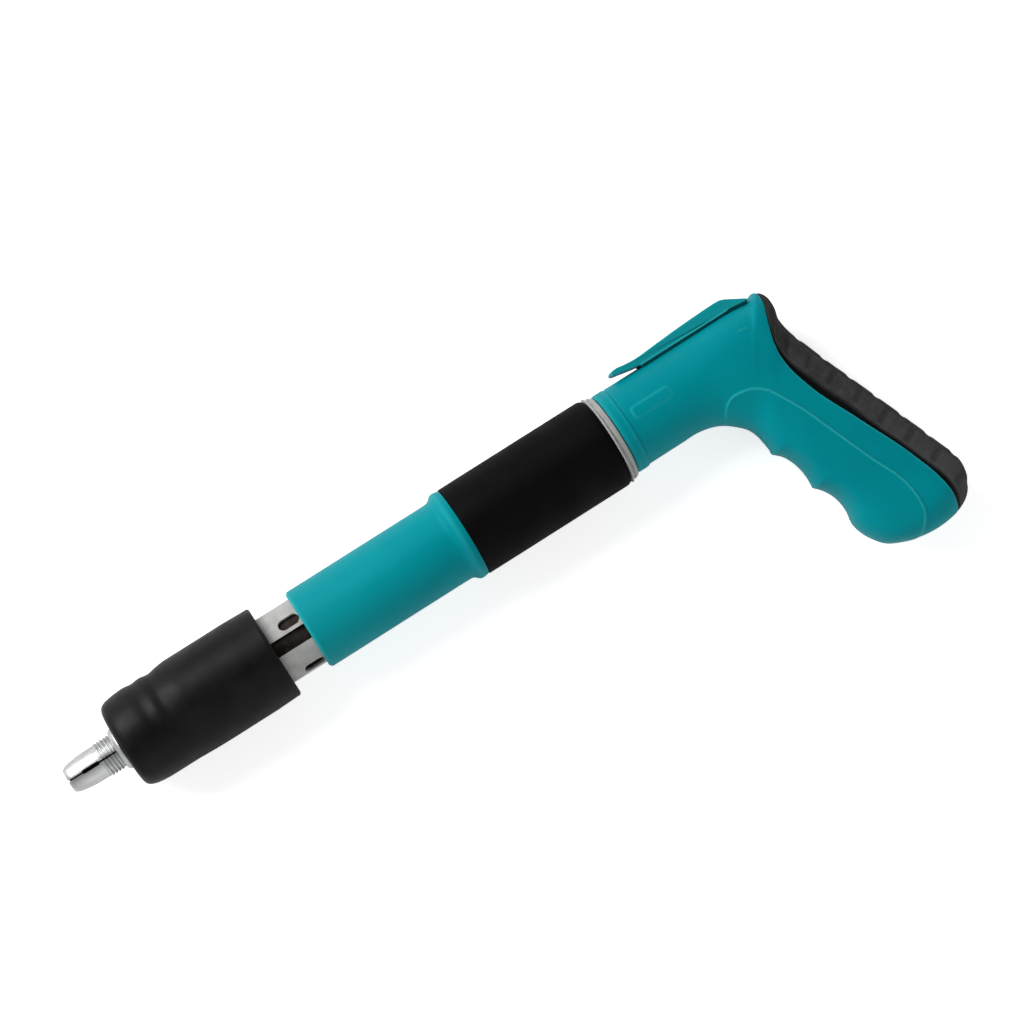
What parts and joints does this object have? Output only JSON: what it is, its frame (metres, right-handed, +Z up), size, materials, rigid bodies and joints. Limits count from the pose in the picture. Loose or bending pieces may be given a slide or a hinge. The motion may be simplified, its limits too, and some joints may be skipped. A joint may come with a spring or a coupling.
{
  "type": "push-to-fire rivet gun",
  "caption": "Long barrelled rivet gun with a slit collet nozzle on a sprung sliding nose, a silencer cover, a raked pistol handle with finger grooves and a belt clip.",
  "frame": {"origin": "centre of the bounding box at its lowest face, with the tool lying on its right side", "axes": "+X along the barrel from the nozzle to the handle, +Y from the grip's end towards the belt clip, +Z up, out of the tool's left side"},
  "size_m": [0.397, 0.134, 0.0438],
  "materials": {
    "chrome": "polished, with a faint cold tint",
    "satin_chrome": "satin plated, dulled by use",
    "cover_rubber": "satin moulded rubber",
    "cyan_plastic": "satin moulded plastic, finely grained",
    "sleeve_rubber": "dense deep black rubber, matt",
    "pad_rubber": "soft grippy rubber with raised blocks",
    "dark_steel": "blued and oiled",
    "plain_steel": "turned and ground",
    "spring_steel": "bright drawn wire"
  },
  "bodies": {
    "handle": {"retaining_ring": "satin_chrome", "front_sleeve": "cyan_plastic", "handle_left": "cyan_plastic", "handle_right": "cyan_plastic", "grip_sleeve": "sleeve_rubber", "backstrap": "pad_rubber", "guide_pin_left": "dark_steel", "guide_pin_right": "dark_steel", "body_tube": "plain_steel", "stop_ring": "plain_steel", "rear_plug": "plain_steel", "tube_pin": "plain_steel", "handle_screw_1": "plain_steel", "handle_screw_2": "plain_steel", "handle_screw_3": "plain_steel", "handle_screw_4": "plain_steel", "clip_screw": "plain_steel", "return_spring": "spring_steel", "main_spring": "spring_steel"},
    "nose": {"collet_nozzle": "chrome", "lock_ring": "chrome", "front_cover": "cover_rubber", "muzzle_plate": "plain_steel", "slide_tube": "satin_chrome", "liner_tube": "dark_steel", "barrel": "plain_steel", "baffle_ring_1": "dark_steel", "baffle_ring_2": "dark_steel", "baffle_ring_3": "dark_steel", "breech_block": "plain_steel", "pin_spring": "spring_steel"},
    "drive_pin": {"drive_pin": "plain_steel"},
    "striker": {"striker": "plain_steel", "sear_plate": "dark_steel", "sear_spring": "spring_steel"},
    "clip": {"belt_clip": "cyan_plastic"}
  },
  "joints": [
    {"name": "nose_slide", "type": "slide", "parent": "handle", "child": "nose", "axis": [1, 0, 0], "range_m": [0, 0.016], "stiffness_N_per_m": 1500, "springref_m": -0.012, "deforming": ["return_spring"]},
    {"name": "striker_slide", "type": "slide", "parent": "handle", "child": "striker", "axis": [1, 0, 0], "range_m": [0, 0.016], "stiffness_N_per_m": 3500, "springref_m": -0.015, "deforming": ["main_spring"]},
    {"name": "drive_pin_slide", "type": "slide", "parent": "nose", "child": "drive_pin", "axis": [-1, 0, 0], "range_m": [0, 0.0025], "stiffness_N_per_m": 400, "springref_m": -0.002, "deforming": ["pin_spring"]},
    {"name": "clip_flex", "type": "hinge", "parent": "handle", "child": "clip", "pos_m": [0.15649, 0.06063, 0.0219], "axis": [0, 0, -1], "range_deg": [0, 4], "stiffness_Nm_per_rad": 2}
  ]
}
